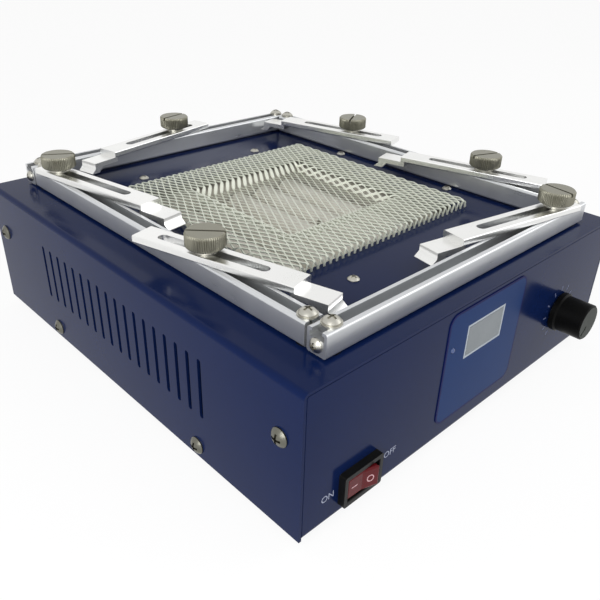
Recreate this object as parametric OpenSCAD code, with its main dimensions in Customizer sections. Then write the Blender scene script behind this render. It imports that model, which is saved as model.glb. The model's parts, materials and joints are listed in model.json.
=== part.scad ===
// Bench-top infrared preheater for circuit boards.
// A sheet-steel case carries a mesh-covered heater in its top. Four channel rails stand
// round the heater, and six slotted arms, each held by a thumb screw, grip the board.
// Millimetres, +Z up, front panel towards -Y, origin under the middle of the whole part.

/* [Case] */
// Width of the case, side to side
case_w = 216; // [200:1:260]
// Depth of the case, front panel to rear panel
case_d = 240; // [228:1:300]
// Height of the sheet-steel case without its feet
case_h = 66; // [60:1:90]
// Thickness of the steel sheet
sheet_t = 1.2; // [0.8:0.1:1.6]
// Outer radius of the folded edges
bend_r = 2.4; // [1.8:0.1:4]
// Gap between the cover and the chassis inside it
cover_gap = 0.3; // [0.1:0.1:0.6]
// Height of the rubber feet
foot_h = 5; // [4:0.5:12]
// Diameter of the rubber feet
foot_d = 18; // [14:1:24]
// Distance of the feet from the case's edges
foot_inset = 25; // [18:1:40]

/* [Side vents] */
// Number of vent slots on each side
vent_count = 18; // [6:1:22]
// Distance from slot to slot
vent_pitch = 7.54; // [5:0.02:8]
// Length of a vent slot
vent_l = 28; // [16:1:32]
// Width of a vent slot
vent_w = 2.2; // [1.2:0.1:3]
// Height of the vents' middle above the case bottom
vent_z = 36.3; // [32:0.1:40]

/* [Heater and guard] */
// Width of the mesh guard
guard_w = 126; // [110:1:140]
// Height of the mesh guard above the case top
guard_h = 4.8; // [3.5:0.1:4.8]
// Width of the square dip in the middle of the guard
dip_w = 72; // [50:1:80]
// Depth of the dip below the guard's top
dip_depth = 5.6; // [4:0.1:8]
// Thickness of the expanded metal
mesh_t = 0.9; // [0.6:0.1:1.2]
// Mesh length along the depth of the case
mesh_l = 15; // [12:0.1:22]
// Mesh width along the width of the case
mesh_w = 7.9; // [7:0.1:12]
// Width of a strand of the mesh
strand_w = 1.2; // [0.8:0.1:1.6]
// Depth of the reflector tray under the case top
tray_depth = 40; // [34:1:44]
// Number of ceramic heater rods
heater_count = 6; // [2:2:6]
// Diameter of a ceramic heater rod
heater_d = 15; // [8:0.5:16]
// Gap from each end of a heater rod's block to the tray's wall
heater_end_gap = 1; // [1:0.5:12]
// Gap from the outer heater rods to the tray's wall
heater_side_gap = 2.8; // [2.5:0.1:12]

/* [Rails] */
// Width of a rail
rail_w = 9.2; // [9:0.1:9.6]
// Height of a rail
rail_h = 9.8; // [9.4:0.1:14]
// Height of the spacers under the rails
rail_lift = 0.8; // [0.5:0.1:3]
// Distance of the side rails' middle from the case's sides
rail_side_inset = 22; // [16:0.5:26]
// Distance of the front and back rails' middle from the case's ends
rail_end_inset = 12.5; // [8:0.5:16]
// Gap between the ends of the side rails and the cross rails
rail_gap = 1.2; // [0.6:0.1:3]
// Wall of a rail
rail_wall = 1.2; // [0.8:0.1:1.3]
// Width of the slot along a rail's top
rail_slot = 4.6; // [4.4:0.1:5]

/* [Clamp arms] */
// Width of an arm's bar
arm_w = 12; // [10:0.1:13]
// Thickness of an arm's bar
arm_t = 3.1; // [2:0.1:4]
// Length of the slot in an arm
arm_slot_l = 53.8; // [53:0.2:60]
// Width of the slot in an arm
arm_slot_w = 4.6; // [4.5:0.1:5.4]
// Bar beyond the slot at the tail
arm_tail = 9.3; // [6:0.1:9.6]
// Bar beyond the slot at the head
arm_neck = 14.4; // [13.6:0.1:14.6]
// Width of the stepped head
head_w = 10.7; // [8:0.1:10.8]
// Length of the head's upper pad
pad_l = 13.7; // [10:0.1:14]
// Drop from the bar's top to the pad
pad_drop = 3.26; // [2.6:0.02:3.6]
// Drop from the bar's top to the root of the sloped lip
lip_drop = 6.1; // [5.4:0.1:6.4]
// Length of the sloped lip that carries the board
lip_l = 2.5; // [1.5:0.1:2.6]
// Height of the sloped lip
lip_h = 2.2; // [1.4:0.1:2.3]

/* [Thumb screws] */
// Diameter of the knurled head
thumb_d = 16.4; // [12:0.2:18]
// Height of the knurled head
thumb_h = 6.3; // [4:0.1:9]
// Diameter of the screw
thumb_shank_d = 4; // [3.6:0.1:4]
// Diameter of the washer under the head
washer_d = 10; // [8:0.2:12]
// Thickness of that washer
washer_t = 1; // [0.5:0.1:1.6]
// Width of the square nut in the rail
nut_w = 6.4; // [5.4:0.1:6.4]
// Height of the square nut
nut_h = 3.2; // [2:0.1:3.4]

/* [Front panel] */
// Width of the overlay on the front panel
label_w = 57; // [50:1:64]
// Height of the overlay on the front panel
label_h = 54; // [48:1:55]
// Width of the display window
window_w = 25.4; // [20:0.2:30]
// Height of the display window
window_h = 13.8; // [10:0.2:16]
// Width of the rocker switch's bezel
switch_w = 21; // [19:0.5:24]
// Height of the rocker switch's bezel
switch_h = 15; // [14:0.5:17]
// Diameter of the temperature knob
knob_d = 18; // [15:0.5:22]
// Length of the temperature knob
knob_l = 15.5; // [10:0.5:22]
// Width of the rim that stands out at the knob's panel end
knob_skirt = 0.8; // [0.4:0.1:2]

/* [Hidden] */
$fn = 48;

// Clearances
// between a screw and the hole that it passes
screw_gap = 0.1;
// between a turning shaft and its bore
run_gap = 0.05;
// between flat faces that slide on each other
slide_gap = 0.1;
// round a piece that drops into a cut-out
fit_gap = 0.2;
// overlap of cutting tools past a face
cut = 1;

// Case planes
case_z = foot_h;
floor_z = case_z + sheet_t;
top_z = case_z + case_h;
front_y = -case_d / 2;
inner_w = case_w - 2 * sheet_t;
base_w = inner_w - 2 * cover_gap;
panel_h = case_h - sheet_t - cover_gap;
panel_corner_r = bend_r - sheet_t;
flange_t = sheet_t;

// Case screws, pan heads on both sides
case_screw_d = 3.9;
case_screw_head_d = 7.7;
case_screw_head_h = 2.4;
case_screw_l = 8;
upper_screw_inset = 10.7;
upper_screw_y = case_d / 2 - upper_screw_inset;
upper_screw_z = 42.5;
lower_screw_inset = 60;
lower_screw_y = case_d / 2 - lower_screw_inset;
lower_screw_z = 5.8;
side_flange_h = 12;
side_flange_inset = 45;
side_flange_l = case_d - 2 * side_flange_inset;
end_flange_w = 20;
end_flange_h = 26;

// Feet and their screws
foot_taper = 1.5;
foot_screw_d = 3.9;
foot_screw_head_d = 7;
foot_screw_head_h = 2;
foot_screw_l = 7;
foot_seat_t = 1.8;
foot_recess_gap = 0.5;
foot_recess_d = foot_screw_head_d + 2 * foot_recess_gap;
foot_recess_h = foot_h - foot_seat_t;

// Heater bay
guard_rim = 3;
bay_w = guard_w - 2 * guard_rim;
tray_t = 0.8;
tray_z = top_z - sheet_t - tray_depth;
guard_screw_x = 40;
guard_screw_d = 2.9;
guard_screw_head_d = 5.2;
guard_screw_head_h = 1.6;
guard_screw_l = 5;
guard_screw_gap = 0.4;
tray_flange_edge = 7;
heater_l = bay_w - 2 * heater_end_gap;
heater_pitch = (bay_w - 2 * heater_side_gap - heater_d) / (heater_count - 1);
heater_lift = 10.4;
heater_z = tray_z + tray_t + heater_lift + heater_d / 2;
heater_block_l = 8;
heater_block_wall = 0.8;
heater_block_w = heater_d + 2 * heater_block_wall;
heater_block_top = 4;
heater_pin_d = 3;
heater_pin_root = 4;
heater_pin_tail = 10;
heater_pin_y = (heater_l - heater_block_l) / 2;
pad_t = 8;
pad_inset = 9;
pad_w = bay_w - 2 * pad_inset;
probe_d = 2;
probe_x = heater_pitch;
probe_head_d = 6;
probe_head_l = 4;

// Rails
rail_x = case_w / 2 - rail_side_inset;
rail_y = case_d / 2 - rail_end_inset;
rail_z = top_z + rail_lift;
rail_top_z = rail_z + rail_h;
rail_round = 1;
rail_lip = 1.4;
rail_floor = 1.5;
rail_cavity_w = rail_w - 2 * rail_wall;
cross_rail_l = 2 * rail_x + rail_w;
side_rail_l = 2 * rail_y - rail_w - 2 * rail_gap;
rail_screw_d = 3;
rail_screw_head_d = 6.8;
rail_screw_head_h = 2.3;
rail_screw_washer_d = 7.8;
rail_screw_washer_t = 0.6;
rail_screw_tail = 2.5;
rail_screw_l = rail_h + rail_lift + sheet_t + rail_screw_tail;
side_rail_screw_inset = 3.3;
side_rail_screw_y = side_rail_l / 2 - side_rail_screw_inset;
cross_rail_screw_inset = 6.8;
cross_rail_screw_x = cross_rail_l / 2 - cross_rail_screw_inset;
guard_screw_r = rail_x - rail_w / 2 - guard_screw_head_d / 2 - guard_screw_gap;
tray_flange_w = 2 * (guard_screw_r + tray_flange_edge);
spacer_d = 8;
end_screw_d = 2.9;
end_screw_head_d = 5.6;
end_screw_head_h = 2;
end_screw_l = 4.4;
end_screw_lift = 2.4;
end_screw_z = rail_z + rail_floor + end_screw_lift;
end_boss_wall = 0.95;
end_boss_w = rail_cavity_w + rail_wall;
end_boss_h = end_screw_z + end_screw_d / 2 + end_boss_wall - rail_z - rail_floor / 2;

// Clamp arms, places of the screws from the ends of the rails; arm 3's is from the middle
arm_1_inset = 20.9;
arm_2_inset = 60.4;
arm_3_x = 1.2;
arm_4_inset = 62.8;
arm_5_inset = 45.2;
arm_6_inset = 24.6;
// Reach of each arm's bar past its screw
arm_1_reach = 65.6;
arm_2_reach = 44.2;
arm_3_reach = 53.3;
arm_4_reach = 48.2;
arm_5_reach = 45.5;
arm_6_reach = 65.2;
// Rail side, place of the screw along the rail, turn inwards, reach
arm_rest = [
    ["left", side_rail_l / 2 - arm_1_inset, 10.4, arm_1_reach],
    ["left", arm_2_inset - side_rail_l / 2, 15, arm_2_reach],
    ["back", arm_3_x, 12.4, arm_3_reach],
    ["right", side_rail_l / 2 - arm_4_inset, 15.8, arm_4_reach],
    ["right", arm_5_inset - side_rail_l / 2, 15, arm_5_reach],
    ["front", cross_rail_l / 2 - arm_6_inset, 10.2, arm_6_reach]];
arm_z = rail_top_z + slide_gap;
arm_l = arm_tail + arm_slot_l + arm_neck;
head_root = 2;
root_ease = 0.01;
pad_t_min = 2.4;
lip_t = 0.2;
washer_z = arm_z + arm_t + slide_gap;
collar_h = 0.9;
collar_d = 9;
collar_z = washer_z + washer_t + slide_gap;
thumb_z = collar_z + collar_h;
thumb_edge = 0.6;
thumb_slot_w = 1.3;
// Direction of each screw's slot, in degrees from +X
thumb_slot_turns = [-30, -44.5, 11, 30, -20, 79];
thumb_slot_h = 1.6;
nut_top_z = rail_top_z - rail_lip - slide_gap;
screw_tip = 1.4;
screw_tip_z = nut_top_z - nut_h - screw_tip;

// Front panel fittings, heights above the case bottom
label_x = -1.6;
label_z = 35.8;
label_t = 0.4;
label_r = 5;
window_x = -2.6;
window_z = 45.6;
led_x = -25.7;
led_z = 45.9;
led_d = 2.4;
led_proud = 0.8;
switch_inset = 30;
switch_x = switch_inset - case_w / 2;
switch_z = 12.7;
switch_bezel_t = 3.2;
switch_bezel_r = 1;
switch_body_w = 18.6;
switch_body_h = 12.8;
switch_body_l = 19;
switch_tab = [0.8, 9, 4.8];
switch_tab_pitch = 10;
switch_tab_root = 1;
// Rocker: two faces that dip towards the pivot, which is two stub pins in the body's walls
rocker_w = 15.2;
rocker_h = 9.6;
rocker_gap = 1;
rocker_side_gap = 0.45;
rocker_well = 8;
rocker_back_inset = 2;
rocker_back = 1.5;
rocker_keel = 3.2;
rocker_tilt = 9;
rocker_pivot = 1.5;
rocker_pivot_y = front_y + rocker_pivot;
rocker_peak = 5.4;
rocker_edge = 4.4;
rocker_pin_d = 2.2;
rocker_pin_l = 0.8;
knob_inset = 40;
knob_x = case_w / 2 - knob_inset;
knob_z = 28;
knob_gap = 0.8;
knob_edge = 0.6;
knob_skirt_l = 2.2;
knob_rim = 0.8;
knob_cap_d = knob_d - 2 * knob_rim;
knob_cap_t = 1.2;
knob_pointer = 135;
pointer_w = 1.2;
shaft_d = 6;
shaft_end_gap = 1;
bush_d = 7;
bush_l = 6;
pot_d = 16.5;
pot_l = 9;
pot_floor = 2;
pot_pin = [1.2, 0.8, 8];
pot_pin_pitch = 5;
pot_pin_drop = 5;
pot_nut_d = 11;
pot_nut_h = 2;
knob_hollow_d = 13;
knob_hollow_l = 5.4;

// Rear inlet
inlet_inset = 42;
inlet_x = inlet_inset - case_w / 2;
inlet_z = 34;
inlet_flange_l = 50;
inlet_flange_h = 23;
inlet_flange_t = 2.5;
inlet_body_w = 27;
inlet_body_h = 19.4;
inlet_body_l = 20;
inlet_corner = 4;
socket_w = 24.4;
socket_h = 16.4;
socket_depth = 17;
blade_w = 2;
blade_h = 4;
blade_l = 12;
blade_tail = 8;
blade_pitch = 7;
blade_shift = 2;
blade_places = [[-blade_pitch, -blade_shift], [0, blade_shift], [blade_pitch, -blade_shift]];
inlet_screw_pitch = 40;
inlet_screw_d = 2.9;
inlet_screw_head_d = 5.4;
inlet_screw_head_h = 1.7;
inlet_screw_l = 7;

// Electronics
board_w = 110;
board_d = 34;
board_t = 1.6;
board_knob_gap = 50;
board_x = knob_x - board_knob_gap;
board_inset = 26;
board_y = front_y + board_inset;
standoff_h = 8;
standoff_d = 6;
board_z = floor_z + standoff_h;
board_hole_inset = 4;
part_gap = 0.5;
part_sink = 0.1;
capacitor_d = 8;
capacitor_h = 10;
capacitor_pitch = 9;
capacitor_inset = 6;
capacitor_y = 6;
relay = [16, 10, 9];
relay_inset = [7, 5];
terminals = [14, 6, 4];
terminals_inset = [11, 4];
transformer = [32, 26, 24];
transformer_core = 9;
transformer_x = -8;
winding_inset = 5;
winding_lift = 2;
winding_h = 18;
heatsink = [25, 12, 24];
heatsink_fin = 1.6;
heatsink_pitch = 6;
heatsink_x = transformer_x + transformer[0] / 2 + part_gap;
heatsink_y = 8;
display_w = 50;
display_h = 32;
display_block_edge = [1, 0.5];
display_pillar_d = 4;
display_pillar_inset = 4;
led_lead_d = 1;
led_flange_d = 3.4;
module_depth = 7;

// Overall depth: the knob stands out in front, the inlet's screw heads behind
knob_reach = knob_gap + knob_l;
inlet_reach = inlet_flange_t + inlet_screw_head_h;
mid_y = (knob_reach - inlet_reach) / 2;

// Shared shapes

// Moves the case's own frame so that the whole part is centred on the origin
module centred() translate([0, mid_y, 0]) children();

// Rectangle with round corners, centred
module round_rect(w, h, r) {
    square([w - 2 * r, h], center = true);
    square([w, h - 2 * r], center = true);
    for (x = [-1, 1], y = [-1, 1]) translate([x * (w / 2 - r), y * (h / 2 - r)]) circle(r);
}

// Slot with round ends along X, centred
module stadium(l, w) {
    square([l - w, w], center = true);
    for (x = [-1, 1]) translate([x * (l - w) / 2, 0]) circle(d = w);
}

// Extrudes a profile drawn in X and Z along Y, from y = 0 towards +Y
module along_y(l) translate([0, l, 0]) rotate([90, 0, 0]) linear_extrude(l) children();

// Turns a shape that stands on +Z so that it points to -Y, out of the front panel
module face_front() rotate([90, 0, 0]) children();

// Turns a shape that stands on +Z so that it points to +Y, out of the rear panel
module face_back() rotate([-90, 0, 0]) children();

// Pan-head screw on +Z with a cross recess, head seat at z = 0
module pan_screw(d, l, head_d, head_h, washer_d = 0, washer_t = 0) {
    dome_r = (head_d * head_d / 4 + head_h * head_h) / (2 * head_h) * 1.15;
    recess = head_d * 0.56;
    recess_w = head_d * 0.13;
    translate([0, 0, -l]) cylinder(d = d, h = l + washer_t + head_h / 3);
    if (washer_t > 0) cylinder(d = washer_d, h = washer_t);
    translate([0, 0, washer_t]) difference() {
        intersection() {
            cylinder(d = head_d, h = head_h);
            translate([0, 0, head_h - dome_r]) sphere(dome_r);
        }
        for (a = [0, 90]) rotate(a) translate([-recess / 2, -recess_w / 2, head_h / 2])
            cube([recess, recess_w, head_h]);
    }
}

// The eight case screws' places: side, y, height above the case bottom
case_screw_places = [for (s = [-1, 1], y = [-1, 1], low = [0, 1])
    [s, y * (low == 1 ? lower_screw_y : upper_screw_y), low == 1 ? lower_screw_z : upper_screw_z]];

// Places of the screws that hold the heater bay
guard_screw_places = [for (s = [-1, 1], t = [-1, 1]) each
    [[s * guard_screw_x, t * guard_screw_r], [t * guard_screw_r, s * guard_screw_x]]];

// Places of the heater rods along X
heater_places = [for (i = [0:heater_count - 1]) (i - (heater_count - 1) / 2) * heater_pitch];

// Places of the screws that hold the rails
rail_screw_places = concat(
    [for (x = [-1, 1], y = [-1, 1]) [x * rail_x, y * side_rail_screw_y]],
    [for (x = [-1, 1], y = [-1, 1]) [x * cross_rail_screw_x, y * rail_y]]);

foot_places = [for (x = [-1, 1], y = [-1, 1]) [x * (case_w / 2 - foot_inset), y * (case_d / 2 - foot_inset)]];

// Case

// Inverted U in X and Z with round outer folds
module cover_profile(w, h, r) {
    translate([-w / 2, 0]) square([w, h - r]);
    translate([-w / 2 + r, 0]) square([w - 2 * r, h]);
    for (x = [-1, 1]) translate([x * (w / 2 - r), h - r]) circle(r);
}

module top_cover() color("#2b3468") centred() difference() {
    translate([0, front_y, case_z]) along_y(case_d) difference() {
        cover_profile(case_w, case_h, bend_r);
        translate([0, -cut]) cover_profile(inner_w, case_h - sheet_t + cut, bend_r - sheet_t);
    }
    for (i = [0:vent_count - 1]) translate([0, (i - (vent_count - 1) / 2) * vent_pitch, case_z + vent_z])
        rotate([90, 0, 90]) linear_extrude(case_w + 2 * cut, center = true) rotate(90) stadium(vent_l, vent_w);
    for (p = case_screw_places) if (p[0] > 0) translate([0, p[1], case_z + p[2]])
        rotate([0, 90, 0]) cylinder(d = case_screw_d + 2 * screw_gap, h = case_w + 2 * cut, center = true);
    translate([-bay_w / 2, -bay_w / 2, top_z - sheet_t - cut]) cube([bay_w, bay_w, sheet_t + 2 * cut]);
    for (p = guard_screw_places) translate([p[0], p[1], top_z - sheet_t - cut])
        cylinder(d = guard_screw_d + 2 * screw_gap, h = sheet_t + 2 * cut);
    for (p = rail_screw_places) translate([p[0], p[1], top_z - sheet_t - cut])
        cylinder(d = rail_screw_d + 2 * screw_gap, h = sheet_t + 2 * cut);
}

// U of floor, front and rear panels in Y and Z with round lower folds
module chassis_profile(d, h, r) {
    translate([-d / 2, r]) square([d, h - r]);
    translate([-d / 2 + r, 0]) square([d - 2 * r, h]);
    for (y = [-1, 1]) translate([y * (d / 2 - r), r]) circle(r);
}

module base_chassis() color("#2e3557") centred() difference() {
    union() {
        intersection() {
            translate([-base_w / 2, 0, case_z]) rotate([90, 0, 90]) linear_extrude(base_w) difference() {
                chassis_profile(case_d, panel_h, bend_r);
                translate([0, sheet_t]) chassis_profile(case_d - 2 * sheet_t, panel_h, bend_r - sheet_t);
            }
            translate([0, front_y - cut, case_z]) along_y(case_d + 2 * cut)
                cover_profile(base_w, panel_h, panel_corner_r);
        }
        for (x = [-1, 1]) translate([x * (base_w - flange_t) / 2, 0, 0]) {
            translate([-flange_t / 2, -side_flange_l / 2, case_z + sheet_t / 2])
                cube([flange_t, side_flange_l, side_flange_h]);
            translate([-flange_t / 2, 0, case_z + upper_screw_z - end_flange_h / 2])
                for (y = [-1, 1]) translate([0, y * (case_d - sheet_t) / 2 - (y > 0 ? end_flange_w : 0), 0])
                    cube([flange_t, end_flange_w, end_flange_h]);
        }
    }
    for (p = case_screw_places) if (p[0] > 0) translate([0, p[1], case_z + p[2]])
        rotate([0, 90, 0]) cylinder(d = case_screw_d + 2 * screw_gap, h = case_w, center = true);
    for (p = foot_places) translate([p[0], p[1], case_z - cut])
        cylinder(d = foot_screw_d + 2 * screw_gap, h = sheet_t + 2 * cut);
    translate([0, front_y + sheet_t + cut, case_z]) face_front() {
        translate([switch_x, switch_z, 0]) linear_extrude(sheet_t + 2 * cut)
            square([switch_body_w + 2 * fit_gap, switch_body_h + 2 * fit_gap], center = true);
        translate([window_x, window_z, 0]) linear_extrude(sheet_t + 2 * cut)
            square([window_w + 2 * fit_gap, window_h + 2 * fit_gap], center = true);
        translate([led_x, led_z, 0]) cylinder(d = led_d + 2 * screw_gap, h = sheet_t + 2 * cut);
        translate([knob_x, knob_z, 0]) cylinder(d = bush_d + 2 * screw_gap, h = sheet_t + 2 * cut);
    }
    translate([inlet_x, case_d / 2 - sheet_t - cut, case_z + inlet_z]) {
        translate([-(inlet_body_w / 2 + fit_gap), 0, -(inlet_body_h / 2 + fit_gap)])
            cube([inlet_body_w + 2 * fit_gap, sheet_t + 2 * cut, inlet_body_h + 2 * fit_gap]);
        for (x = [-1, 1]) translate([x * inlet_screw_pitch / 2, 0, 0]) face_back()
            cylinder(d = inlet_screw_d + 2 * screw_gap, h = sheet_t + 2 * cut);
    }
}

module cover_screws() color("silver") centred() for (p = case_screw_places)
    translate([p[0] * case_w / 2, p[1], case_z + p[2]]) rotate([0, p[0] * 90, 0])
        pan_screw(case_screw_d, case_screw_l, case_screw_head_d, case_screw_head_h);

module rubber_feet() color("#1a1a1a") centred() for (p = foot_places) translate([p[0], p[1], 0]) difference() {
    cylinder(d1 = foot_d - 2 * foot_taper, d2 = foot_d, h = foot_h);
    translate([0, 0, -cut]) cylinder(d = foot_recess_d, h = foot_recess_h + cut);
    translate([0, 0, -cut]) cylinder(d = foot_screw_d + 2 * screw_gap, h = foot_h + 2 * cut);
}

module foot_screws() color("silver") centred() for (p = foot_places) translate([p[0], p[1], foot_recess_h])
    rotate([180, 0, 0]) pan_screw(foot_screw_d, foot_screw_l, foot_screw_head_d, foot_screw_head_h);

// Heater bay

// Sheet of expanded metal, w wide, with staggered diamond holes and a plain rim.
// Holes that would reach the rim, or the cut-out of width gap_w, are left out.
module mesh_sheet(w, gap_w) {
    nx = floor(w / mesh_w / 2);
    ny = floor(w / mesh_l);
    hole_x = mesh_w / 2 - strand_w / 2;
    hole_y = mesh_l / 2 - strand_w;
    difference() {
        square(w, center = true);
        if (gap_w > 0) square(gap_w, center = true);
        for (j = [-ny:ny], i = [-nx:nx]) {
            x = (i + (j % 2 == 0 ? 0 : 0.5)) * mesh_w;
            y = j * mesh_l / 2;
            far = max(abs(x) + hole_x, abs(y) + hole_y) < w / 2 - strand_w / 2;
            near = gap_w == 0 || max(abs(x) - hole_x, abs(y) - hole_y) > gap_w / 2 + strand_w / 2;
            if (far && near) translate([x, y]) polygon([[hole_x, 0], [0, hole_y], [-hole_x, 0], [0, -hole_y]]);
        }
    }
}

// Four upright walls of w by h round the middle, with a row of openings between cut strands
module strand_wall(w, h) {
    n = floor((w - 2 * mesh_w) / mesh_w / 2);
    for (a = [0:90:270]) rotate(a) difference() {
        translate([-w / 2, w / 2 - mesh_t, 0]) cube([w, mesh_t, h]);
        for (i = [-n:n]) translate([i * mesh_w - (mesh_w - strand_w) / 2, w / 2 - mesh_t - cut, mesh_t])
            cube([mesh_w - strand_w, mesh_t + 2 * cut, h - 2 * mesh_t]);
    }
}

module heater_guard() color("#d8d8d0") centred() translate([0, 0, top_z]) {
    translate([0, 0, guard_h - mesh_t]) linear_extrude(mesh_t) mesh_sheet(guard_w, dip_w - 2 * mesh_t);
    strand_wall(guard_w, guard_h);
    translate([0, 0, guard_h - dip_depth]) strand_wall(dip_w, dip_depth);
    translate([0, 0, guard_h - dip_depth]) linear_extrude(mesh_t) mesh_sheet(dip_w, 0);
}

module guard_screws() color("silver") centred() for (p = guard_screw_places) translate([p[0], p[1], top_z])
    pan_screw(guard_screw_d, guard_screw_l, guard_screw_head_d, guard_screw_head_h);

module reflector_tray() color("#c9c9c9") centred() difference() {
    union() {
        translate([-tray_flange_w / 2, -tray_flange_w / 2, tray_z + tray_depth - tray_t])
            cube([tray_flange_w, tray_flange_w, tray_t]);
        translate([-bay_w / 2 - tray_t, -bay_w / 2 - tray_t, tray_z])
            cube([bay_w + 2 * tray_t, bay_w + 2 * tray_t, tray_depth]);
    }
    translate([-bay_w / 2, -bay_w / 2, tray_z + tray_t]) cube([bay_w, bay_w, tray_depth]);
    for (p = heater_places, y = [-1, 1]) translate([p, y * heater_pin_y, tray_z - cut])
        cylinder(d = heater_pin_d + 2 * screw_gap, h = tray_t + 2 * cut);
    translate([probe_x, 0, tray_z - cut]) cylinder(d = probe_d + 2 * screw_gap, h = tray_t + 2 * cut);
    for (p = guard_screw_places) translate([p[0], p[1], tray_z + tray_depth - tray_t - cut])
        cylinder(d = guard_screw_d + 2 * screw_gap, h = tray_t + 2 * cut);
}

// Rods along Y, each in two blocks on the tray's floor, with a terminal pin through it under each block
module ceramic_heaters() color("#e9e4d8") centred() for (x = heater_places) translate([x, 0, heater_z]) {
    rotate([90, 0, 0]) cylinder(d = heater_d, h = heater_l, center = true);
    for (y = [-1, 1]) translate([0, y * heater_pin_y, -heater_d / 2 - heater_lift]) {
        translate([-heater_block_w / 2, -heater_block_l / 2, 0])
            cube([heater_block_w, heater_block_l, heater_lift + heater_d / 2 + heater_block_top]);
        translate([0, 0, -heater_pin_tail]) cylinder(d = heater_pin_d, h = heater_pin_tail + heater_pin_root);
    }
}

module insulation_pad() color("#efece4") centred() difference() {
    translate([-pad_w / 2, -pad_w / 2, tray_z - pad_t]) cube([pad_w, pad_w, pad_t]);
    translate([probe_x, 0, tray_z - pad_t - cut]) cylinder(d = probe_d + 2 * screw_gap, h = pad_t + 2 * cut);
}

module thermocouple() color("#a8a8a8") centred() translate([probe_x, 0, tray_z - pad_t]) {
    cylinder(d = probe_d, h = heater_z + heater_d / 2 - tray_z + pad_t);
    translate([0, 0, -probe_head_l]) cylinder(d = probe_head_d, h = probe_head_l);
}

// Rails

// Channel section in X and Z, standing on z = 0, open along the top
module rail_section() difference() {
    translate([0, rail_h / 2]) round_rect(rail_w, rail_h, rail_round);
    translate([-rail_cavity_w / 2, rail_floor]) square([rail_cavity_w, rail_h - rail_floor - rail_lip]);
    translate([-rail_slot / 2, rail_floor]) square([rail_slot, rail_h]);
}

// Rail of length l along Y, centred, with a fixing hole near each end
module rail(l, hole_y) translate([0, 0, rail_z]) difference() {
    translate([0, -l / 2, 0]) along_y(l) rail_section();
    for (y = [-1, 1]) translate([0, y * hole_y, -cut])
        cylinder(d = rail_screw_d + 2 * screw_gap, h = rail_floor + 2 * cut);
}

// Cross rail along X, with a screw boss in each open end
module cross_rail() difference() {
    union() {
        rotate(90) rail(cross_rail_l, cross_rail_screw_x);
        for (x = [-1, 1]) translate([x * (cross_rail_l - end_screw_l) / 2, 0, rail_z + rail_floor / 2])
            translate([-end_screw_l / 2, -end_boss_w / 2, 0]) cube([end_screw_l, end_boss_w, end_boss_h]);
    }
    for (x = [-1, 1]) translate([x * (cross_rail_l / 2 - end_screw_l - cut), 0, end_screw_z])
        rotate([0, x * 90, 0]) cylinder(d = end_screw_d + 2 * screw_gap, h = end_screw_l + 2 * cut);
}

module rail_front() color("#cfd1d2") centred() translate([0, -rail_y, 0]) cross_rail();
module rail_back() color("#cfd1d2") centred() translate([0, rail_y, 0]) cross_rail();
module rail_left() color("#cfd1d2") centred() translate([-rail_x, 0, 0]) rail(side_rail_l, side_rail_screw_y);
module rail_right() color("#cfd1d2") centred() translate([rail_x, 0, 0]) rail(side_rail_l, side_rail_screw_y);

module rail_screws() color("silver") centred() for (p = rail_screw_places) translate([p[0], p[1], rail_top_z])
    pan_screw(rail_screw_d, rail_screw_l, rail_screw_head_d, rail_screw_head_h,
              rail_screw_washer_d, rail_screw_washer_t);

module rail_spacers() color("#3a3a3a") centred() for (p = rail_screw_places) translate([p[0], p[1], top_z])
    difference() {
        cylinder(d = spacer_d, h = rail_lift);
        translate([0, 0, -cut]) cylinder(d = rail_screw_d + 2 * screw_gap, h = rail_lift + 2 * cut);
    }

module rail_end_screws() color("silver") centred() for (x = [-1, 1], y = [-1, 1])
    translate([x * cross_rail_l / 2, y * rail_y, end_screw_z]) rotate([0, x * 90, 0])
        pan_screw(end_screw_d, end_screw_l, end_screw_head_d, end_screw_head_h);

// Clamp arms

// Place of an arm's screw in the case's frame
function arm_pivot(a) =
    a[0] == "left" ? [-rail_x, a[1]] :
    a[0] == "right" ? [rail_x, a[1]] :
    a[0] == "front" ? [a[1], -rail_y] : [a[1], rail_y];

// Direction of an arm's head, in degrees from +X
function arm_heading(a) =
    a[0] == "left" ? -90 + a[2] :
    a[0] == "right" ? 90 + a[2] :
    a[0] == "front" ? 180 - a[2] : 180 + a[2];

// Puts a shape on arm i's screw axis; aligned also turns +X to the arm's head
module at_arm(i, aligned = false) centred() translate(arm_pivot(arm_rest[i - 1]))
    rotate(aligned ? arm_heading(arm_rest[i - 1]) : 0) children();

// Side view of the stepped head: pad, drop and sloped lip, u = 0 at the end of the bar
module head_profile() polygon([
    [-head_root, arm_t / 2], [-root_ease, arm_t / 2], [0, arm_t - pad_drop], [pad_l, arm_t - pad_drop],
    [pad_l, arm_t - lip_drop], [pad_l + lip_l, arm_t - lip_drop - lip_h],
    [pad_l + lip_l, arm_t - lip_drop - lip_h - lip_t], [pad_l - lip_l, arm_t - lip_drop - lip_h - lip_t],
    [pad_l - 2 * lip_l, arm_t - pad_drop - pad_t_min], [-head_root, arm_t - pad_drop - pad_t_min]]);

// Arm along +X with the end of its bar at u = 0 and its underside at z = 0
module arm_shape() {
    difference() {
        translate([-arm_l, -arm_w / 2, 0]) cube([arm_l, arm_w, arm_t]);
        translate([-arm_neck - arm_slot_l / 2, 0, -cut]) linear_extrude(arm_t + 2 * cut)
            stadium(arm_slot_l, arm_slot_w);
    }
    translate([0, -head_w / 2, 0]) along_y(head_w) head_profile();
}

module clamp_arm(i) color("#f0f0ee") at_arm(i, true) translate([arm_rest[i - 1][3], 0, arm_z]) arm_shape();

module slide_nut(i) color("#b5b2a0") at_arm(i) translate([0, 0, nut_top_z - nut_h]) difference() {
    translate([-nut_w / 2, -nut_w / 2, 0]) cube([nut_w, nut_w, nut_h]);
    translate([0, 0, -cut]) cylinder(d = thumb_shank_d + 2 * run_gap, h = nut_h + 2 * cut);
}

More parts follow.
